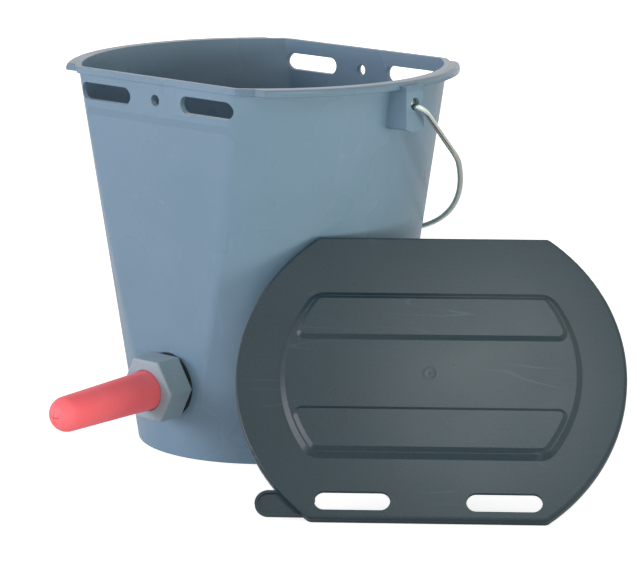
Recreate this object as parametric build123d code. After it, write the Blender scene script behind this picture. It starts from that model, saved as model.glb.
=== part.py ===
from build123d import *
import math
import os

# A bucket with a drinking teat: a tapered tub with two flat sides and two round ones,
# a wire bail, a screwed teat valve low on the front flat, and a lid leaning beside it.
# Millimetres and degrees. +Z is up, the front flat faces -Y, and the base stands on Z = 0.

# Tub; depths and drops are measured down from the mouth
bucket_height = 271.0
mouth_radius = 131.0
mouth_half_width = 105.2
base_radius = 91.0
flat_width_at_valve = 59.4
wall = 2.5
corner_radius = 12.0
inner_corner_radius = 5.0
floor_thickness = 3.0
foot_recess = 2.0
foot_ring_width = 7.0
floor_pad_radius = 25.0
foot_edge_radius = 1.2

# Lip on the two round sides, rim and raised pad on the two flat sides
lip_projection = 8.8
lip_drop = 5.0
lip_wall = 2.2
lip_round = 3.0
lip_end_inset = 7.0
rim_height = 4.6
rim_projection = 2.0
pad_projection = 1.6
pad_depth = 27.3
pad_flank = 3.0

# Hanging slots and the small hole between them, through both flat sides
hanger_drop = 16.0
slot_length = 50.0
slot_width = 12.0
slot_spacing = 100.0
peg_hole_radius = 4.0

# Ears that carry the bail
ear_reach = 14.6
ear_width = 17.6
ear_depth = 31.5
ear_wall = 2.5
ear_belly = 2.6
ear_edge_radius = 1.2
ear_hole_radius = 4.2
ear_hole_drop = 14.8

# Wire bail
wire_radius = 2.0
wire_clearance = 0.3
bail_side_gap = 5.4
bail_elbow_radius = 6.4
bail_leg_length = 47.0
bail_shoulder_radius = 30.0
bail_crown_margin = 11.0
bail_head_radius = 5.4
bail_head_length = 2.0

# Teat valve, along the normal of the front flat
valve_height = 53.0
sleeve_radius = 17.0
sleeve_length = 17.0
sleeve_hole_clearance = 0.4
chamber_radius = 10.5
seat_hole_radius = 5.0
valve_flange_radius = 23.0
valve_flange_thickness = 3.0
inner_gasket_thickness = 2.0
inner_gasket_radius = 21.5
outer_gasket_thickness = 1.6
outer_gasket_radius = 22.4
guide_count = 4
guide_thickness = 1.6
ball_radius = 7.0
ball_side_clearance = 0.3
ball_end_clearance = 0.1
ball_travel = 4.0
stop_thickness = 1.5
stop_radius = 13.6
stop_hub_radius = 3.0
stop_arm_width = 2.4
stop_rim_width = 2.2
stop_clearance = 0.1

# Union nut
nut_across_flats = 43.0
nut_shoulder = 3.4
nut_edge_round = 1.6
nut_thread_clearance = 0.3

# Rubber teat
teat_reach = 110.0
teat_neck_radius = 14.2
teat_tip_radius = 12.4
teat_wall = 3.0
teat_flange_thickness = 2.5
teat_clearance = 0.3
teat_slit_length = 9.0
teat_slit_width = 0.5

# Lid
lid_corner_radius = 5.0
lid_skirt_depth = 7.0
lid_skirt_width = 2.2
lid_plate = 2.5
lid_edge_round = 2.2
lid_panel_side_margin = 30.0
lid_panel_end_margin = 43.2
lid_panel_rise = 3.0
lid_panel_corner = 14.0
lid_bar_edge_margin = 4.0
lid_bar_spacing = 50.0
lid_bar_side_margin = 4.5
lid_bar_rise = 2.4
lid_bar_corner = 6.0
lid_slot_width = 13.0
lid_slot_edge = 12.8
lid_locator_clearance = 3.5
lid_locator_width = 2.2
lid_locator_depth = 7.0
lid_locator_span = 140.0
tab_width = 18.4
tab_reach = 22.0
tab_edge_height = 3.2
tab_plate = 1.6
tab_rim_rise = 1.3
tab_rim_width = 2.0

# How the lid leans on the tub
lid_lean = 39.5
lid_bearing = 40.7
lid_side_shift = 124.0
lid_gap = 0.35

panel_side_slope = 50.0
lean_samples = 600
contact_samples = 40
overshoot = 20.0

# The flats narrow downwards, are just wide enough for the valve, and run out above the base
valve_share = valve_height / bucket_height
valve_level_radius = base_radius + (mouth_radius - base_radius) * valve_share
valve_half_width = math.sqrt(valve_level_radius**2 - (flat_width_at_valve / 2) ** 2)
flat_slope = (mouth_half_width - valve_half_width) / (bucket_height - valve_height)
base_half_width = valve_half_width - flat_slope * valve_height
flat_tilt = math.degrees(math.atan(flat_slope))

# The lid covers the mouth; its panel, bars and ribs keep their margins
lid_radius = mouth_radius
lid_half_height = mouth_half_width
lid_panel_radius = lid_radius - lid_panel_side_margin
lid_panel_half_height = lid_half_height - lid_panel_end_margin
lid_bar_radius = lid_panel_radius - lid_bar_side_margin
lid_bar_inner = lid_bar_spacing / 2
lid_bar_outer = lid_panel_half_height - lid_bar_edge_margin
lid_locator_radius = mouth_radius - wall - lid_locator_clearance


def at_height(at_base, at_mouth, height):
    return at_base + (at_mouth - at_base) * height / bucket_height


def tub_radius(height):
    return at_height(base_radius, mouth_radius, height)


def tub_half_width(height):
    return at_height(base_half_width, mouth_half_width, height)


def tub_body(bottom, side_inset, flat_inset, corner):
    """A cone cut by two sloping flats, the edges between them rounded."""
    low = tub_radius(bottom) - side_inset
    height = bucket_height - bottom
    cone = Pos(0, 0, bottom + height / 2) * Cone(low, mouth_radius - side_inset, height)
    half_base = base_half_width - flat_inset
    half_mouth = mouth_half_width - flat_inset
    wedge = Polyline(
        (-half_base, 0),
        (half_base, 0),
        (half_mouth, bucket_height),
        (-half_mouth, bucket_height),
        close=True,
    )
    body = cone & extrude(make_face(Plane.YZ * wedge), amount=2 * mouth_radius, both=True)
    edges = [edge for edge in body.edges() if edge.bounding_box().size.Z > height / 2]
    return fillet([edge for edge in edges if edge.geom_type != GeomType.LINE], corner)


def lip_ring():
    """Turned-down lip round the mouth, kept on the round sides only."""
    outer = mouth_radius + lip_projection
    inner = mouth_radius - wall
    top = bucket_height
    corner = top - lip_round
    rounded = CenterArc((outer - lip_round, corner), lip_round, 0, 90)
    lines = Polyline(
        (outer - lip_round, top),
        (inner, top),
        (inner, top - lip_wall),
        (outer - lip_wall, top - lip_wall),
        (outer - lip_wall, top - lip_drop),
        (outer, top - lip_drop),
        (outer, corner),
    )
    profile = make_face(Plane.XZ * (lines + rounded))
    end = mouth_half_width - lip_end_inset
    slab = Box(3 * outer, 2 * end, 3 * bucket_height)
    ring = revolve(profile, Axis.Z) & slab
    # the lip's ends are closed by webs that stand in line with the flats
    sheet = Rectangle(outer - mouth_radius + wall, lip_drop)
    sheet = fillet(sheet.vertices().group_by(Axis.Y)[-1].sort_by(Axis.X)[-1], lip_round)
    filled = Plane.XZ * (Pos((outer + inner) / 2, top - lip_drop / 2) * sheet)
    filled = revolve(filled, Axis.Z) & slab
    core = Box(3 * outer, 2 * (end - lip_wall), 3 * bucket_height)
    return ring + (filled - core)


def mouth_rim():
    """Narrow band round the mouth, seen on the flats and at the corners."""
    band = Pos(0, 0, bucket_height - rim_height / 2) * Box(4 * mouth_radius, 4 * mouth_radius, rim_height)
    return tub_body(0, -rim_projection, -rim_projection, corner_radius) & band


def flat_pads():
    """Slightly proud field round the hanging slots, its lower edge sloping back to the flat."""
    level = bucket_height - pad_depth
    face = tub_half_width(level) + pad_projection
    beyond = 2 * pad_projection
    window = Polyline(
        (-face - beyond, level + pad_flank * beyond),
        (0, level - pad_flank * face),
        (face + beyond, level + pad_flank * beyond),
        (face + beyond, 2 * bucket_height),
        (-face - beyond, 2 * bucket_height),
        close=True,
    )
    window = extrude(make_face(Plane.YZ * window), amount=2 * mouth_radius, both=True)
    return tub_body(0, 0, -pad_projection, corner_radius) & window


def ear_profile(inset):
    half = ear_width / 2 - inset
    low = bucket_height - ear_depth - inset * overshoot
    top = bucket_height - lip_wall - inset
    edge = Polyline((-half, low), (-half, top), (half, top), (half, low))
    belly = ThreePointArc((half, low), (0, low - ear_belly), (-half, low))
    return make_face(Plane.YZ * (edge + belly))


def ear_blocks():
    face = mouth_radius + ear_reach
    block = extrude(ear_profile(0), amount=face)
    outer_edges = block.edges().filter_by(Axis.Z).group_by(Axis.X)[-1]
    block = fillet(outer_edges, ear_edge_radius)
    return block + block.mirror(Plane.YZ)


def ear_pockets(tub):
    face = mouth_radius + ear_reach
    pocket = extrude(ear_profile(ear_wall), amount=face - ear_wall)
    return (pocket + pocket.mirror(Plane.YZ)) - tub


def side_hole(radius, height):
    """A round hole along Y through both flats."""
    turned = Rot(90, 0, 0) * Cylinder(radius, 4 * mouth_half_width)
    return Pos(0, 0, height) * turned


def hanger_cutters():
    slot = extrude(Plane.XZ * SlotOverall(slot_length, slot_width), amount=2 * mouth_half_width, both=True)
    level = bucket_height - hanger_drop
    slots = [Pos(side * slot_spacing / 2, 0, level) * slot for side in (-1, 1)]
    return slots + [side_hole(peg_hole_radius, level)]


def foot_cutter():
    sheet = Circle(base_radius - foot_ring_width) - Circle(floor_pad_radius)
    return extrude(sheet, amount=foot_recess)


def bucket_shell():
    tub = tub_body(0, 0, 0, corner_radius)
    tub = fillet(tub.edges().group_by(Axis.Z)[0], foot_edge_radius)
    cavity = tub_body(foot_recess + floor_thickness, wall, wall, inner_corner_radius)
    shell = tub + ear_blocks() + lip_ring() + mouth_rim() + flat_pads()
    shell = shell - cavity - ear_pockets(tub) - foot_cutter()
    for cutter in hanger_cutters():
        shell = shell - cutter
    ear_hole = Rot(0, 90, 0) * Cylinder(ear_hole_radius, overshoot)
    level = bucket_height - ear_hole_drop
    for side in (-1, 1):
        shell = shell - Pos(side * (mouth_radius + ear_reach), 0, level) * ear_hole
    return shell - valve_plane() * Cylinder(sleeve_radius + sleeve_hole_clearance, overshoot)


def bail_axis_height():
    return bucket_height - ear_hole_drop - ear_hole_radius + wire_radius + wire_clearance


def bail_leg():
    """Distance of the bail's straight legs from its middle."""
    return mouth_radius + ear_reach + bail_side_gap + wire_radius


def crown_radius():
    return bail_leg() + bail_crown_margin


def bail_shape():
    """Tangent point and reach of the bail's crown in its own plane."""
    sine = (bail_leg() - bail_shoulder_radius) / (crown_radius() - bail_shoulder_radius)
    cosine = math.sqrt(1 - sine**2)
    meet_x = crown_radius() * sine
    meet_y = bail_leg_length + bail_shoulder_radius * cosine
    reach = meet_y + crown_radius() * (1 - cosine)
    return meet_x, meet_y, reach


def bail_line():
    """Points along one half of the bail's centre line, in its own plane."""
    meet_x, meet_y, reach = bail_shape()
    points = [(bail_leg(), bail_leg_length)]
    for step in range(contact_samples + 1):
        across = meet_x * step / contact_samples
        drop = math.sqrt(crown_radius()**2 - across**2)
        points.append((across, reach - crown_radius() + drop))
    return points


def bail_clearance(hang):
    """Least distance from the hanging wire's surface to the tub's wall."""
    tilt = math.radians(flat_tilt)
    least = mouth_radius
    for across, down in bail_line():
        back = down * math.cos(hang)
        height = bail_axis_height() - down * math.sin(hang)
        from_flat = (back - tub_half_width(height)) * math.cos(tilt)
        from_arc = (math.hypot(across, back) - tub_radius(height)) * math.cos(tilt)
        least = min(least, max(from_flat, from_arc) - wire_radius)
    return least


def bail_hang_angle():
    """Angle below level at which the hanging wire stands just off the tub."""
    level = 0.0
    steep = math.radians(80)
    for _ in range(contact_samples):
        middle = (level + steep) / 2
        if bail_clearance(middle) > wire_clearance:
            level = middle
        else:
            steep = middle
    return math.degrees(level)


def bail_plane():
    hang = math.radians(bail_hang_angle())
    origin = (0, 0, bail_axis_height())
    return Plane(origin=origin, x_dir=(1, 0, 0), z_dir=(0, math.sin(hang), math.cos(hang)))


def bail_handle():
    leg = bail_leg()
    meet_x, meet_y, reach = bail_shape()
    end = mouth_radius + ear_reach - ear_wall - wire_clearance
    turn = math.atan2(meet_y - bail_leg_length, meet_x - leg + bail_shoulder_radius)
    middle = turn / 2
    centre = leg - bail_shoulder_radius
    bend = bail_elbow_radius
    slant = bend * (1 - math.sqrt(0.5))
    path = Line((end - bail_head_length, 0), (leg - bend, 0))
    path += ThreePointArc((leg - bend, 0), (leg - slant, slant), (leg, bend))
    path += Line((leg, bend), (leg, bail_leg_length))
    shoulder = (
        centre + bail_shoulder_radius * math.cos(middle),
        bail_leg_length + bail_shoulder_radius * math.sin(middle),
    )
    path += ThreePointArc((leg, bail_leg_length), shoulder, (meet_x, meet_y))
    crown = ThreePointArc((meet_x, meet_y), (0, reach), (-meet_x, meet_y))
    route = path + crown + path.mirror(Plane.YZ)
    start = Plane(origin=(end - bail_head_length, 0, 0), z_dir=(1, 0, 0))
    wire = sweep(start * Circle(wire_radius), path=Wire(route.edges()))
    head = Rot(0, 90, 0) * Cylinder(bail_head_radius, bail_head_length)
    for side in (-1, 1):
        wire = wire + Pos(side * (end - bail_head_length / 2), 0, 0) * head
    return bail_plane() * wire


def valve_plane():
    """Local frame of the valve: Z runs outwards from the front flat's outer face."""
    tilt = math.radians(flat_tilt)
    origin = (0, -tub_half_width(valve_height), valve_height)
    return Plane(origin=origin, x_dir=(1, 0, 0), z_dir=(0, -math.cos(tilt), -math.sin(tilt)))


def wall_normal():
    return wall * math.cos(math.radians(flat_tilt))


def ring(outer, inner, low, high):
    blank = Cylinder(outer, high - low) - Cylinder(inner, 2 * (high - low))
    return Pos(0, 0, (low + high) / 2) * blank


def sleeve_seat_level():
    return -wall_normal() - inner_gasket_thickness


def ball_seated_level():
    return sleeve_seat_level() + math.sqrt(ball_radius**2 - seat_hole_radius**2) + ball_end_clearance


def ball_open_level():
    return ball_seated_level() + ball_travel


def valve_body():
    """Sleeve through the wall, with a flange inside the tub, a ball seat and guide ribs."""
    seat = sleeve_seat_level()
    back = seat - valve_flange_thickness
    sleeve = ring(sleeve_radius, chamber_radius, seat, sleeve_length)
    flange = ring(valve_flange_radius, seat_hole_radius, back, seat)
    body = sleeve + flange
    rib_depth = chamber_radius - ball_radius - ball_side_clearance
    rib_top = sleeve_length - stop_thickness
    rib = Box(rib_depth, guide_thickness, rib_top - seat)
    rib = Pos(chamber_radius - rib_depth / 2, 0, (rib_top + seat) / 2) * rib
    for index in range(guide_count):
        body = body + Rot(0, 0, 360 / guide_count * (index + 0.5)) * rib
    recess = ring(stop_radius + stop_clearance, seat_hole_radius, rib_top, sleeve_length)
    return valve_plane() * (body - recess)


def ball_stop():
    """Spoked disc under the teat that keeps the ball in its chamber."""
    low = sleeve_length - stop_thickness
    disc = ring(stop_radius, stop_radius - stop_rim_width, low, sleeve_length)
    arm = Box(2 * stop_radius - stop_rim_width, stop_arm_width, stop_thickness)
    for index in range(guide_count // 2):
        turn = 360 / guide_count * index
        disc = disc + Rot(0, 0, turn) * Pos(0, 0, low + stop_thickness / 2) * arm
    hub_low = ball_open_level() + ball_radius + ball_end_clearance
    hub_length = sleeve_length - hub_low
    hub = Pos(0, 0, hub_low + hub_length / 2) * Cylinder(stop_hub_radius, hub_length)
    return valve_plane() * (disc + hub)


def valve_ball():
    return valve_plane() * (Pos(0, 0, ball_open_level()) * Sphere(ball_radius))


def inner_gasket():
    hole = sleeve_radius + sleeve_hole_clearance
    return valve_plane() * ring(inner_gasket_radius, hole, sleeve_seat_level(), -wall_normal())


def outer_gasket():
    hole = sleeve_radius + sleeve_hole_clearance
    return valve_plane() * ring(outer_gasket_radius, hole, 0, outer_gasket_thickness)


def teat_flange_top():
    return sleeve_length + teat_flange_thickness


def union_nut():
    """Hexagonal nut: plain bore over the sleeve, and a shoulder that clamps the teat's flange."""
    low = outer_gasket_thickness
    bore_length = teat_flange_top() - low
    length = bore_length + nut_shoulder
    corner = nut_across_flats / math.sqrt(3)
    prism = extrude(RegularPolygon(corner, 6), amount=length)
    prism = fillet(prism.edges(), nut_edge_round)
    bore = Cylinder(sleeve_radius + nut_thread_clearance, 2 * bore_length)
    mouth = Cylinder(teat_neck_radius + teat_clearance, 4 * length)
    return valve_plane() * Pos(0, 0, low) * (prism - bore - mouth)


def teat_solid(radius, tip_radius, low, reach):
    """A tapered finger with a round tip, from a level low to its reach."""
    shoulder = reach - tip_radius
    side = Line((radius, low), (tip_radius, shoulder))
    slant = tip_radius * math.sqrt(0.5)
    nose = ThreePointArc((tip_radius, shoulder), (slant, shoulder + slant), (0, reach))
    base = Polyline((0, reach), (0, low), (radius, low))
    return revolve(make_face(Plane.XZ * (side + nose + base)), Axis.Z)


def teat():
    low = sleeve_length
    flange = ring(sleeve_radius, 2 * teat_slit_width, low, teat_flange_top())
    outer = teat_solid(teat_neck_radius, teat_tip_radius, low, teat_reach)
    bore_radius = teat_neck_radius - teat_wall
    tip_bore = teat_tip_radius - teat_wall
    inner = teat_solid(bore_radius, tip_bore, low, teat_reach - teat_wall)
    body = (outer + flange) - inner
    slit = Box(teat_slit_length, teat_slit_width, 4 * teat_wall)
    for turn in (0, 90):
        body = body - Pos(0, 0, teat_reach) * Rot(0, 0, turn) * slit
    return valve_plane() * body


def lid_outline(radius, half_height, corner):
    outline = Circle(radius) & Rectangle(2 * radius, 2 * half_height)
    return fillet(outline.vertices(), corner)


def lid_bars(inset):
    """Outlines of the two bars inside the panel, above and below its middle."""
    radius = lid_bar_radius - inset
    width = lid_bar_outer - lid_bar_inner - 2 * inset
    middle = (lid_bar_outer + lid_bar_inner) / 2
    bar = Circle(radius) & (Pos(0, middle) * Rectangle(2 * radius, width))
    bar = fillet(bar.vertices(), lid_bar_corner - inset)
    return [bar, mirror(bar, about=Plane.XZ)]


def lid_relief(inset, level):
    """The raised panel and its two bars, with sloping sides, standing on a level."""
    panel = lid_outline(lid_panel_radius - inset, lid_panel_half_height - inset, lid_panel_corner - inset)
    relief = Pos(0, 0, level) * extrude(panel, amount=lid_panel_rise, taper=panel_side_slope)
    for bar in lid_bars(inset):
        rise = extrude(bar, amount=lid_bar_rise, taper=panel_side_slope)
        relief = relief + Pos(0, 0, level + lid_panel_rise) * rise
    return relief


def lid_locators():
    """Ribs under the round sides that drop inside the mouth."""
    depth = lid_locator_depth + lid_skirt_depth - lid_plate
    top = lid_skirt_depth - lid_plate
    hoop = ring(lid_locator_radius, lid_locator_radius - lid_locator_width, top - depth, top)
    return hoop & Box(2 * lid_radius, lid_locator_span, 4 * depth)


def lid_tab():
    """Pull tab beyond the lower left edge, with a raised rim."""
    middle = -lid_half_height + tab_edge_height + tab_width / 2
    arc_x = math.sqrt(lid_radius**2 - middle**2)
    length = tab_reach + tab_width
    sheet = Pos(-arc_x - tab_reach + length / 2, middle) * SlotOverall(length, tab_width)
    inner_length = length - 2 * tab_rim_width
    inner = SlotOverall(inner_length, tab_width - 2 * tab_rim_width)
    inner = Pos(-arc_x - tab_reach + length / 2, middle) * inner
    plate = extrude(sheet, amount=tab_plate)
    rim = extrude(sheet - inner, amount=tab_plate + tab_rim_rise)
    return plate + rim


def lid_body():
    sheet = lid_outline(lid_radius, lid_half_height, lid_corner_radius)
    blank = extrude(sheet, amount=lid_skirt_depth)
    blank = fillet(blank.edges().group_by(Axis.Z)[-1], lid_edge_round)
    skirt = lid_skirt_width
    hollow = lid_outline(lid_radius - skirt, lid_half_height - skirt, lid_corner_radius - skirt)
    underside = lid_skirt_depth - lid_plate
    body = blank + lid_relief(0, lid_skirt_depth)
    # the relief is hollow behind, so the sheet keeps one thickness
    inset = lid_plate * math.tan(math.radians((90 - panel_side_slope) / 2))
    body = body - extrude(hollow, amount=underside) - lid_relief(inset, underside)
    body = body + lid_locators() + lid_tab()
    slot = extrude(SlotOverall(slot_length, lid_slot_width), amount=overshoot, both=True)
    slot_y = -lid_half_height + lid_slot_edge
    for side in (-1, 1):
        body = body - Pos(side * slot_spacing / 2, slot_y, 0) * slot
    return body


def tub_reach(sideways, height):
    """How far the tub reaches towards the lid, at a place sideways of its axis."""
    bearing = math.radians(lid_bearing)
    by_arc = math.sqrt(tub_radius(height)**2 - sideways**2)
    by_flat = (tub_half_width(height) + sideways * math.sin(bearing)) / math.cos(bearing)
    return min(by_arc, by_flat)


def lid_foot():
    """Distance of the lid's bottom edge from the tub's axis, so that its edge just clears the wall."""
    lean = math.radians(lid_lean)
    outline = lid_outline(lid_radius, lid_half_height, lid_corner_radius).wire()
    foot = 0
    for step in range(lean_samples):
        point = outline.position_at(step / lean_samples)
        across = lid_side_shift + point.X
        if point.Y > 0 and across < base_radius:
            along = lid_half_height + point.Y
            reach = tub_reach(across, along * math.cos(lean))
            foot = max(foot, reach + along * math.sin(lean))
    return foot + lid_gap


def lid_plane():
    """The lid's own frame on its back face: X to its right, Y up the lid, Z towards the viewer."""
    bearing = math.radians(lid_bearing)
    lean = math.radians(lid_lean)
    level_x = math.sin(bearing)
    level_y = -math.cos(bearing)
    out = lid_foot() - lid_half_height * math.sin(lean)
    origin = (
        out * level_x + lid_side_shift * math.cos(bearing),
        out * level_y + lid_side_shift * math.sin(bearing),
        lid_half_height * math.cos(lean),
    )
    normal = (math.cos(lean) * level_x, math.cos(lean) * level_y, math.sin(lean))
    return Plane(origin=origin, x_dir=(math.cos(bearing), math.sin(bearing), 0), z_dir=normal)


def lid():
    return lid_plane() * lid_body()


makers = {
    "bucket_shell": bucket_shell,
    "bail_handle": bail_handle,
    "valve_body": valve_body,
    "inner_gasket": inner_gasket,
    "outer_gasket": outer_gasket,
    "valve_ball": valve_ball,
    "ball_stop": ball_stop,
    "teat": teat,
    "union_nut": union_nut,
    "lid": lid,
}

os.makedirs("parts", exist_ok=True)
for name, make in makers.items():
    piece = make()
    export_step(piece, f"parts/{name}.step")
    print(name, round(piece.volume), [round(value, 1) for value in piece.bounding_box().size])
print("bail hangs at", round(bail_hang_angle(), 3), "degrees, axis height", round(bail_axis_height(), 3))
print("lid origin", [round(value, 3) for value in lid_plane().origin])
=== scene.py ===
import math

import bpy
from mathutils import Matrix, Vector

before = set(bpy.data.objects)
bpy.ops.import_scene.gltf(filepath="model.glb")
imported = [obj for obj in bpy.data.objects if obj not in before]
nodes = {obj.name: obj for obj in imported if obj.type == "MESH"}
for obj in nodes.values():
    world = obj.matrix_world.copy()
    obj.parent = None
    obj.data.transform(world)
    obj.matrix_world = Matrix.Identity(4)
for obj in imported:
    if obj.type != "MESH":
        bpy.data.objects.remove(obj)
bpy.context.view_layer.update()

scene = bpy.context.scene


print("frame loaded:", len(nodes), "nodes")

white = (1.0, 1.0, 1.0, 1.0)
noiseLow, noiseHigh = 0.3, 0.7  # nearly all of a noise lies between these
mixShare, mixBase, mixMark, mixResult = 0, 6, 7, 2  # a colour Mix node's sockets


# Colours are written as sRGB hex and turned linear here
def linear(hexText):
    channels = [int(hexText[i:i + 2], 16) / 255 for i in (1, 3, 5)]
    steps = [c / 12.92 if c <= 0.04045 else ((c + 0.055) / 1.055) ** 2.4 for c in channels]
    return (*steps, 1.0)


def metres(millimetres):
    return millimetres / 1000.0


# A texture scale, in repeats per metre, from a feature's real size
def perSize(millimetres):
    return 1000.0 / millimetres


# Stops of a colour ramp, from pairs of position and colour or position and grey level
def hexStops(pairs):
    return [(position, linear(colour)) for position, colour in pairs]


def greyStops(pairs):
    return [(position, (level, level, level, 1.0)) for position, level in pairs]


# Adds one shader node: settings are its properties, inputs are values or sockets to link
def addNode(tree, kind, settings=None, inputs=None, stops=()):
    node = tree.nodes.new(kind)
    for name, value in (settings or {}).items():
        setattr(node, name, value)
    for socket, value in (inputs or {}).items():
        if isinstance(value, bpy.types.NodeSocket):
            tree.links.new(value, node.inputs[socket])
        else:
            node.inputs[socket].default_value = value
    if stops:
        elements = node.color_ramp.elements
        while len(elements) < len(stops):
            elements.new(0.5)
        for element, (position, colour) in zip(elements, stops):
            element.position = position
            element.color = colour
    return node


def newMaterial(name):
    material = bpy.data.materials.new(name)
    material.use_nodes = True
    tree = material.node_tree
    tree.nodes.clear()
    return material, tree


def finishMaterial(tree, shader, normal):
    tree.links.new(normal, shader.inputs["Normal"])
    addNode(tree, "ShaderNodeOutputMaterial", inputs={"Surface": shader.outputs["BSDF"]})


# What all the moulded plastics share
moulding = {
    "driftDetail": 9.0, "driftRoughness": 0.62,
    "driftSpan": (0.22, 0.78),  # levels of the noise that are dark and light
    "scratchBend": 0.05,
    "scratchLine": (0.494, 0.5, 0.506),  # a thin slice of the noise is a line
    "scratchDepth": 0.05,  # millimetres
    "wornFrom": 0.5, "wornFull": 0.68,  # levels where scratches begin and are full
    "speckCore": 0.8,  # strength at the core's edge
    "speckRim": 1.6,  # where a speck has faded out, in cores
    "edgeSamples": 4,
}


# Slow colour drift and fine flecks: pigment never mixes quite evenly
def pigment(tree, place, look):
    drift = addNode(tree, "ShaderNodeTexNoise", inputs={
        "Vector": place, "Scale": perSize(look["driftSize"]),
        "Detail": moulding["driftDetail"], "Roughness": moulding["driftRoughness"]})
    plain = addNode(tree, "ShaderNodeValToRGB", inputs={"Fac": drift.outputs["Fac"]},
                    stops=hexStops(zip(moulding["driftSpan"], (look["dark"], look["light"]))))
    fleck = addNode(tree, "ShaderNodeTexNoise", inputs={
        "Vector": place, "Scale": perSize(look["fleckSize"]), "Detail": 3.0})
    shade = addNode(tree, "ShaderNodeMapRange", inputs={
        "Value": fleck.outputs["Fac"], "From Min": noiseLow, "From Max": noiseHigh,
        "To Min": 1.0 - look["fleckShare"], "To Max": 1.0 + look["fleckShare"]})
    return addNode(tree, "ShaderNodeVectorMath", {"operation": "SCALE"}, {
        0: plain.outputs["Color"], "Scale": shade.outputs["Result"]}).outputs["Vector"]


# Painted shade on the lip: its colour is darkened on all that lies high and far out
def paintedLipShade(tree, place, look, colour):
    split = addNode(tree, "ShaderNodeSeparateXYZ", inputs={0: place})
    around = addNode(tree, "ShaderNodeCombineXYZ", inputs={
        "X": split.outputs["X"], "Y": split.outputs["Y"]})
    reach = addNode(tree, "ShaderNodeVectorMath", {"operation": "LENGTH"}, {
        0: around.outputs["Vector"]})
    shares = []
    spans = ((split.outputs["Z"], look["lipFoot"]), (reach.outputs["Value"], look["lipReach"]))
    for measure, (start, full) in spans:
        share = addNode(tree, "ShaderNodeMapRange", inputs={
            "Value": measure, "From Min": metres(start), "From Max": metres(full)})
        shares.append(share.outputs["Result"])
    both = addNode(tree, "ShaderNodeMath", {"operation": "MULTIPLY"}, {0: shares[0], 1: shares[1]})
    tone = addNode(tree, "ShaderNodeMapRange", inputs={
        "Value": both.outputs[0], "To Min": 1.0, "To Max": look["lipShade"]})
    return addNode(tree, "ShaderNodeVectorMath", {"operation": "SCALE"}, {
        0: colour, "Scale": tone.outputs["Result"]}).outputs["Vector"]


# Hair scratches: a stretched, bent noise cut to thin lines, and kept to worn patches
def hairScratches(tree, place, patch, look):
    along = addNode(tree, "ShaderNodeMapping", inputs={
        "Vector": place, "Rotation": (0.0, 0.0, look["scratchSlant"]), "Scale": look["scratchStretch"]})
    bent = addNode(tree, "ShaderNodeTexNoise", inputs={
        "Vector": along.outputs["Vector"], "Scale": perSize(look["scratchSpacing"]),
        "Detail": 1.0, "Distortion": moulding["scratchBend"]})
    before, middle, after = moulding["scratchLine"]
    lines = addNode(tree, "ShaderNodeValToRGB", inputs={"Fac": bent.outputs["Fac"]},
                    stops=greyStops([(0.0, 0.0), (before, 0.0), (middle, 1.0), (after, 0.0)]))
    worn = addNode(tree, "ShaderNodeValToRGB", inputs={"Fac": patch},
                   stops=greyStops([(moulding["wornFrom"], 0.0), (moulding["wornFull"], 1.0)]))
    return addNode(tree, "ShaderNodeMath", {"operation": "MULTIPLY"}, {
        0: lines.outputs["Color"], 1: worn.outputs["Color"]}).outputs[0]


# A few dark specks of burnt resin: small cores of widely spaced cells
def burntSpecks(tree, place, look):
    cells = addNode(tree, "ShaderNodeTexVoronoi", inputs={
        "Vector": place, "Scale": perSize(look["speckSpacing"])})
    core = look["speckSize"] / look["speckSpacing"] / 2
    profile = [(0.0, 1.0), (core, moulding["speckCore"]), (core * moulding["speckRim"], 0.0)]
    specks = addNode(tree, "ShaderNodeValToRGB", inputs={"Fac": cells.outputs["Distance"]},
                     stops=greyStops(profile))
    return specks.outputs["Color"]


# The moulding gate's mark: a shallow round pit with a low ring, in the middle of the face
def gateMark(tree, place, gate, normal):
    flat = addNode(tree, "ShaderNodeVectorMath", {"operation": "MULTIPLY"}, {
        0: place, 1: (1.0, 1.0, 0.0)})
    reach = addNode(tree, "ShaderNodeVectorMath", {"operation": "LENGTH"}, {
        0: flat.outputs["Vector"]})
    share = addNode(tree, "ShaderNodeMapRange", inputs={
        "Value": reach.outputs["Value"], "From Max": metres(gate["size"] / 2)})
    height = addNode(tree, "ShaderNodeValToRGB", inputs={"Fac": share.outputs["Result"]},
                     stops=greyStops(gate["profile"]))
    return addNode(tree, "ShaderNodeBump", inputs={
        "Strength": gate["strength"], "Distance": metres(gate["depth"]),
        "Height": height.outputs["Color"], "Normal": normal}).outputs["Normal"]


# The skin's relief: softened edges, spark-eroded grain, slow sinks, scored scratches
def satinSkin(tree, place, scratch, look):
    normal = addNode(tree, "ShaderNodeBevel", {"samples": moulding["edgeSamples"]}, {
        "Radius": metres(look["edgeRound"])}).outputs["Normal"]
    for feature, detail in (("grain", 2.0), ("sink", 1.0)):
        height = addNode(tree, "ShaderNodeTexNoise", inputs={
            "Vector": place, "Scale": perSize(look[feature + "Size"]), "Detail": detail})
        normal = addNode(tree, "ShaderNodeBump", inputs={
            "Strength": look[feature + "Strength"], "Distance": metres(look[feature + "Depth"]),
            "Height": height.outputs["Fac"], "Normal": normal}).outputs["Normal"]
    normal = addNode(tree, "ShaderNodeBump", {"invert": True}, {
        "Strength": look["scratchShare"], "Distance": metres(moulding["scratchDepth"]),
        "Height": scratch, "Normal": normal}).outputs["Normal"]
    if "gate" in look:
        normal = gateMark(tree, place, look["gate"], normal)
    return normal


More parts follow.
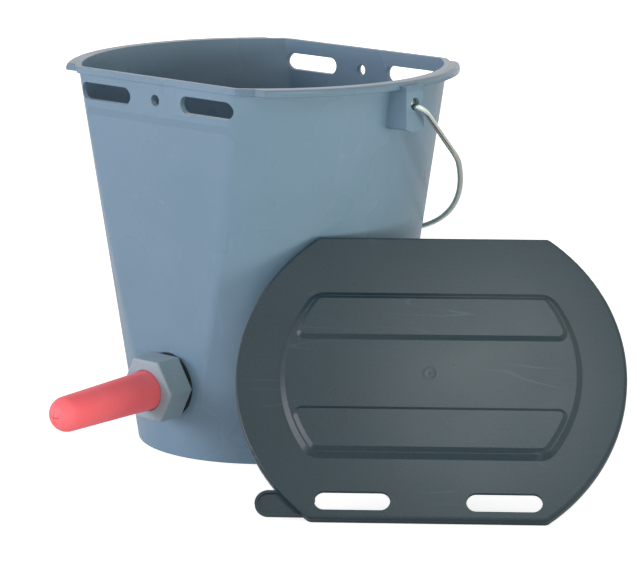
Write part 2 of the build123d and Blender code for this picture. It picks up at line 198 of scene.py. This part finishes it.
# Injection-moulded plastic: slow colour drift, faint scratches, satin spark-eroded skin
def mouldedPlastic(name, look):
    material, tree = newMaterial(name)
    shared = addNode(tree, "ShaderNodeTexCoord").outputs["Object"]
    # the patterns follow the piece's own width, height and depth, because it may stand turned
    place = addNode(tree, "ShaderNodeMapping", {"vector_type": "TEXTURE"}, {
        "Vector": shared, "Location": look["centre"],
        "Rotation": [math.radians(angle) for angle in look["turn"]]}).outputs["Vector"]
    colour = pigment(tree, place, look)
    # the lip gets a painted shade, a darker tone where it lies high and far out
    if "lipShade" in look:
        colour = paintedLipShade(tree, shared, look, colour)
    patch = addNode(tree, "ShaderNodeTexNoise", inputs={
        "Vector": place, "Scale": perSize(look["patchSize"]), "Detail": 2.0}).outputs["Fac"]
    scratch = hairScratches(tree, place, patch, look)
    pale = addNode(tree, "ShaderNodeMath", {"operation": "MULTIPLY"}, {
        0: scratch, 1: look["scratchShare"]}).outputs[0]
    specks = burntSpecks(tree, place, look)
    for share, mark in ((pale, look["scratchColour"]), (specks, look["speckColour"])):
        colour = addNode(tree, "ShaderNodeMix", {"data_type": "RGBA"}, {
            mixShare: share, mixBase: colour, mixMark: linear(mark)}).outputs[mixResult]
    rough = addNode(tree, "ShaderNodeMapRange", inputs={
        "Value": patch, "From Min": noiseLow, "From Max": noiseHigh,
        "To Min": look["roughness"] - look["roughSwing"],
        "To Max": look["roughness"] + look["roughSwing"]})
    shader = addNode(tree, "ShaderNodeBsdfPrincipled", inputs={
        "Base Color": colour, "Roughness": rough.outputs["Result"], "IOR": look["ior"]})
    finishMaterial(tree, shader, satinSkin(tree, place, scratch, look))
    return material


# Polypropylene, satin moulded: soft highlights that drift over slightly uneven walls.
# Here and below, sizes are in millimetres and a piece's centre in metres. Its turn is in
# degrees and the slant of its scratches in radians.
tubPolypropylene = {
    "centre": (0.0, 0.0, 0.0), "turn": (0.0, 90.0, 0.0),
    "dark": "#678295", "light": "#728BA1",
    "driftSize": 140.0, "fleckSize": 1.6, "fleckShare": 0.02,
    "scratchSpacing": 22.0, "scratchStretch": (0.10, 1.0, 1.0), "scratchSlant": 0.12,
    "patchSize": 70.0, "scratchShare": 0.10, "scratchColour": "#A9BCCB",
    "speckSpacing": 90.0, "speckSize": 0.9, "speckColour": "#46525C",
    "edgeRound": 0.8,
    # lipShade darkens the lip's colour as painted shade; lipFoot and lipReach bound it
    "lipShade": 0.82, "lipFoot": (264.0, 266.0), "lipReach": (131.6, 132.6),  # where the tone fades in
    "roughness": 0.28, "roughSwing": 0.04,
    "grainSize": 0.9, "grainStrength": 0.12, "grainDepth": 0.03,  # coarser than the real 0.1 mm grain
    "sinkSize": 90.0, "sinkStrength": 0.10, "sinkDepth": 0.6,
    "ior": 1.49,
}

# The same resin in dark slate: its hair scratches, flecks and specks show more
lidPolypropylene = {
    "centre": (0.2065, -0.0499, 0.0812), "turn": (50.5, 0.0, 40.7),
    "dark": "#1B2D35", "light": "#1E3139",
    "driftSize": 80.0, "fleckSize": 1.4, "fleckShare": 0.20,
    "scratchSpacing": 24.0, "scratchStretch": (0.12, 1.0, 1.0), "scratchSlant": 0.5,
    "patchSize": 45.0, "scratchShare": 0.13, "scratchColour": "#7C8890",
    "speckSpacing": 60.0, "speckSize": 1.2, "speckColour": "#0E171B",
    "edgeRound": 0.6,
    "roughness": 0.29, "roughSwing": 0.02,
    "grainSize": 0.9, "grainStrength": 0.12, "grainDepth": 0.03,  # coarser than real, as on the tub
    "sinkSize": 90.0, "sinkStrength": 0.08, "sinkDepth": 0.7,
    "gate": {
        "size": 15.0, "depth": 0.6, "strength": 0.25,
        "profile": [(0.0, 0.9), (0.18, 0.2), (0.35, 0.35), (0.55, 1.0), (0.75, 0.55), (1.0, 0.5)],
    },
    "ior": 1.49,
}

# Polyamide nut, sleeve and stop: a plain mid grey with broader, duller highlights
nutPolyamide = {
    "centre": (0.0, 0.0, 0.0), "turn": (90.0, 0.0, 0.0),
    "dark": "#889AA5", "light": "#94A6B1",
    "driftSize": 40.0, "fleckSize": 1.2, "fleckShare": 0.05,
    "scratchSpacing": 9.0, "scratchStretch": (0.2, 1.0, 1.0), "scratchSlant": 0.9,
    "patchSize": 14.0, "scratchShare": 0.15, "scratchColour": "#B4BCC3",
    "speckSpacing": 40.0, "speckSize": 0.6, "speckColour": "#4B545B",
    "edgeRound": 1.2,
    "roughness": 0.42, "roughSwing": 0.05,
    "grainSize": 0.7, "grainStrength": 0.15, "grainDepth": 0.02,  # coarser than real, as on the tub
    "sinkSize": 18.0, "sinkStrength": 0.2, "sinkDepth": 0.2,
    "ior": 1.53,
}

# Polypropylene ball, white, moulded and worn smooth: the same marks with a brighter shine
ballPolypropylene = dict(nutPolyamide, dark="#D9D9D3", light="#E6E6E0", roughness=0.25, ior=1.49)

# Steel wire, zinc plated and yellow passivated: bright, with pink and green films
wireZinc = {
    "films": [
        (0.32, "#E8E9E6"), (0.43, "#E6E4C8"), (0.50, "#E4E7E6"),
        (0.58, "#CFE6D6"), (0.68, "#EBD3DA"),
    ],
    "filmSize": 13.0, "cloudSize": 3.25, "roughness": (0.07, 0.16),
    "drawSize": 0.5, "drawStrength": 0.08, "drawDepth": 0.04,  # coarser than real draw marks
}


def platedWire(name, look):
    material, tree = newMaterial(name)
    place = addNode(tree, "ShaderNodeTexCoord").outputs["Object"]
    film = addNode(tree, "ShaderNodeTexNoise", inputs={
        "Vector": place, "Scale": perSize(look["filmSize"]), "Detail": 2.0})
    colour = addNode(tree, "ShaderNodeValToRGB", inputs={"Fac": film.outputs["Fac"]},
                     stops=hexStops(look["films"]))
    cloud = addNode(tree, "ShaderNodeTexNoise", inputs={
        "Vector": place, "Scale": perSize(look["cloudSize"]), "Detail": 3.0})
    smoothest, roughest = look["roughness"]
    rough = addNode(tree, "ShaderNodeMapRange", inputs={
        "Value": cloud.outputs["Fac"], "From Min": noiseLow, "From Max": noiseHigh,
        "To Min": smoothest, "To Max": roughest})
    drawn = addNode(tree, "ShaderNodeTexNoise", inputs={
        "Vector": place, "Scale": perSize(look["drawSize"]), "Detail": 2.0})
    bump = addNode(tree, "ShaderNodeBump", inputs={
        "Strength": look["drawStrength"], "Distance": metres(look["drawDepth"]),
        "Height": drawn.outputs["Fac"]})
    shader = addNode(tree, "ShaderNodeBsdfPrincipled", inputs={
        "Base Color": colour.outputs["Color"], "Metallic": 1.0, "Roughness": rough.outputs["Result"]})
    finishMaterial(tree, shader, bump.outputs["Normal"])
    return material


# Natural rubber, red, moulded with a matt skin: even colour and a soft bright sheen
teatRubber = {
    "dark": "#FF6870", "light": "#FF747D",
    "cloudSize": 22.0, "cloudSpan": (0.35, 0.65), "bloomSize": 5.0, "roughness": (0.41, 0.52),
    "skinSize": 0.6, "skinStrength": 0.25, "skinDepth": 0.04,  # coarser than the real matt skin
    "bleed": 0.05, "bleedSize": 3.0, "sheen": 0.40, "sheenSpread": 0.5,
    "ior": 1.52,
}

# Nitrile rubber, black, cut from sheet: dull, with hardly any sheen
sealRubber = {
    "dark": "#141517", "light": "#1E2022",
    "cloudSize": 8.0, "cloudSpan": (0.35, 0.65), "bloomSize": 3.0, "roughness": (0.57, 0.68),
    "skinSize": 0.4, "skinStrength": 0.3, "skinDepth": 0.04,
    "bleed": 0.0, "bleedSize": 3.0, "sheen": 0.1, "sheenSpread": 0.5,
    "ior": 1.52,
}


def softRubber(name, look):
    material, tree = newMaterial(name)
    place = addNode(tree, "ShaderNodeTexCoord").outputs["Object"]
    cloud = addNode(tree, "ShaderNodeTexNoise", inputs={
        "Vector": place, "Scale": perSize(look["cloudSize"]), "Detail": 4.0})
    colour = addNode(tree, "ShaderNodeValToRGB", inputs={"Fac": cloud.outputs["Fac"]},
                     stops=hexStops(zip(look["cloudSpan"], (look["dark"], look["light"]))))
    bloom = addNode(tree, "ShaderNodeTexNoise", inputs={
        "Vector": place, "Scale": perSize(look["bloomSize"]), "Detail": 3.0})
    smoothest, roughest = look["roughness"]
    rough = addNode(tree, "ShaderNodeMapRange", inputs={
        "Value": bloom.outputs["Fac"], "From Min": noiseLow, "From Max": noiseHigh,
        "To Min": smoothest, "To Max": roughest})
    skin = addNode(tree, "ShaderNodeTexNoise", inputs={
        "Vector": place, "Scale": perSize(look["skinSize"]), "Detail": 3.0})
    bump = addNode(tree, "ShaderNodeBump", inputs={
        "Strength": look["skinStrength"], "Distance": metres(look["skinDepth"]),
        "Height": skin.outputs["Fac"]})
    shader = addNode(tree, "ShaderNodeBsdfPrincipled", inputs={
        "Base Color": colour.outputs["Color"], "Roughness": rough.outputs["Result"], "IOR": look["ior"],
        "Subsurface Weight": look["bleed"], "Subsurface Scale": metres(look["bleedSize"]),
        "Sheen Weight": look["sheen"], "Sheen Roughness": look["sheenSpread"],
        "Sheen Tint": linear(look["light"])})
    finishMaterial(tree, shader, bump.outputs["Normal"])
    return material


tubSkin = mouldedPlastic("mouldedPolypropyleneBlueGrey", tubPolypropylene)
lidSkin = mouldedPlastic("mouldedPolypropyleneSlate", lidPolypropylene)
nutSkin = mouldedPlastic("mouldedPolyamideGrey", nutPolyamide)
ballSkin = mouldedPlastic("mouldedPolypropyleneWhite", ballPolypropylene)
wireSkin = platedWire("zincPlatedWire", wireZinc)
teatSkin = softRubber("mouldedRubberRed", teatRubber)
sealSkin = softRubber("sheetRubberBlack", sealRubber)
print("materials made")

skins = {
    "bucket_shell": tubSkin,
    "lid": lidSkin,
    "union_nut": nutSkin,
    "valve_body": nutSkin,
    "ball_stop": nutSkin,
    "valve_ball": ballSkin,
    "bail_handle": wireSkin,
    "teat": teatSkin,
    "inner_gasket": sealSkin,
    "outer_gasket": sealSkin,
}

for name, skin in skins.items():
    piece = nodes[name]
    piece.data.materials.clear()
    piece.data.materials.append(skin)
    piece.data.shade_smooth()
    smooth = piece.modifiers.new("softShade", "WEIGHTED_NORMAL")
    smooth.keep_sharp = True
print("CAD nodes dressed")


# Floor, room and lamps, in metres and watts
studio = {
    "floorSize": 12.0, "floorColour": "#F4F4F4", "floorRoughness": 0.9,
    "floorLift": 0.74,  # glow that the eye sees, up to white
    "floorGlow": 0.05,  # glow that glossy surfaces see
    "ambient": 0.25,
    "aim": (0.06, -0.03, 0.12),
    "lamps": [
        # name, place, width, height, watts, colour, shown in reflections
        ("key", (-1.6, -2.5, 0.75), 2.0, 1.2, 22.0, "#FFFAFF", True),
        ("keyVeil", (-1.6, -2.5, 0.75), 2.0, 1.2, 51.0, "#FFFAFF", False),  # keeps the glints soft
        ("side", (2.75, 0.25, 0.30), 1.6, 0.4, 40.0, "#FFF8E8", False),
        ("fill", (2.0, -2.0, 0.22), 1.6, 0.4, 21.0, "#FAFFF4", False),
        ("top", (0.0, 0.35, 2.2), 0.6, 0.6, 1.2, "#FFFFFF", True),
        ("back", (-1.3, 2.6, 0.30), 1.6, 0.5, 34.0, "#FFFFFF", False),
        ("sheen", (0.39, -0.20, 0.57), 0.16, 0.16, 0.31, "#F4FFFF", True),  # a soft glow on the lid
    ],
}


def layFloor():
    bpy.ops.mesh.primitive_plane_add(size=studio["floorSize"], location=(0, 0, 0))
    floor = bpy.context.active_object
    floor.name = "floor"
    material, tree = newMaterial("paleFloor")
    path = addNode(tree, "ShaderNodeLightPath")
    seen = addNode(tree, "ShaderNodeMath", {"operation": "MULTIPLY"}, {
        0: path.outputs["Is Camera Ray"], 1: studio["floorLift"]})
    mirrored = addNode(tree, "ShaderNodeMath", {"operation": "MULTIPLY"}, {
        0: path.outputs["Is Glossy Ray"], 1: studio["floorGlow"]})
    lift = addNode(tree, "ShaderNodeMath", {"operation": "MAXIMUM"}, {
        0: seen.outputs[0], 1: mirrored.outputs[0]})
    shader = addNode(tree, "ShaderNodeBsdfPrincipled", inputs={
        "Base Color": linear(studio["floorColour"]), "Roughness": studio["floorRoughness"],
        "Emission Color": white, "Emission Strength": lift.outputs[0]})
    addNode(tree, "ShaderNodeOutputMaterial", inputs={"Surface": shader.outputs["BSDF"]})
    floor.data.materials.append(material)


# The room is white to the eye, in reflections and through glass, and dim as a light
def paintRoom():
    world = bpy.data.worlds.new("paleRoom")
    world.use_nodes = True
    tree = world.node_tree
    tree.nodes.clear()
    path = addNode(tree, "ShaderNodeLightPath")
    strength = path.outputs["Is Camera Ray"]
    for other in (path.outputs["Is Transmission Ray"], path.outputs["Is Glossy Ray"], studio["ambient"]):
        strength = addNode(tree, "ShaderNodeMath", {"operation": "MAXIMUM"}, {
            0: strength, 1: other}).outputs[0]
    background = addNode(tree, "ShaderNodeBackground", inputs={"Color": white, "Strength": strength})
    addNode(tree, "ShaderNodeOutputWorld", inputs={"Surface": background.outputs["Background"]})
    scene.world = world


def hangLamps():
    for name, place, width, height, watts, colour, mirrored in studio["lamps"]:
        lamp = bpy.data.lights.new(name, "AREA")
        lamp.shape = "RECTANGLE"
        lamp.size = width
        lamp.size_y = height
        lamp.energy = watts
        lamp.color = linear(colour)[:3]
        holder = bpy.data.objects.new(name, lamp)
        holder.location = place
        holder.visible_glossy = mirrored
        holder.visible_camera = False
        towards = Vector(studio["aim"]) - Vector(place)
        holder.rotation_mode = "QUATERNION"
        holder.rotation_quaternion = towards.to_track_quat("-Z", "Y")
        scene.collection.objects.link(holder)


# The photograph's view: bearing and height of the eye in degrees, the lens in millimetres,
# and the rest in metres
eye = {
    "azimuth": 43.72, "elevation": 11.67, "distance": 2.467, "focal": 193.3,
    "centre": (0.0, 0.0, 0.1355), "right": 0.0404, "down": 0.0276,
}


def setCamera():
    turn, rise = math.radians(eye["azimuth"]), math.radians(eye["elevation"])
    right = Vector((math.cos(turn), math.sin(turn), 0.0))
    back = Vector((math.sin(turn) * math.cos(rise), -math.cos(turn) * math.cos(rise), math.sin(rise)))
    up = back.cross(right)
    aim = Vector(eye["centre"]) + right * eye["right"] - up * eye["down"]
    camera = bpy.data.objects.new("camera", bpy.data.cameras.new("camera"))
    camera.data.sensor_fit = "HORIZONTAL"
    camera.data.lens = eye["focal"]
    camera.location = aim + back * eye["distance"]
    camera.rotation_mode = "QUATERNION"
    camera.rotation_quaternion = (-back).to_track_quat("-Z", "Y")
    scene.collection.objects.link(camera)
    scene.camera = camera
    scene.view_settings.view_transform = "Standard"


layFloor()
paintRoom()
hangLamps()
setCamera()
print("studio and camera set")
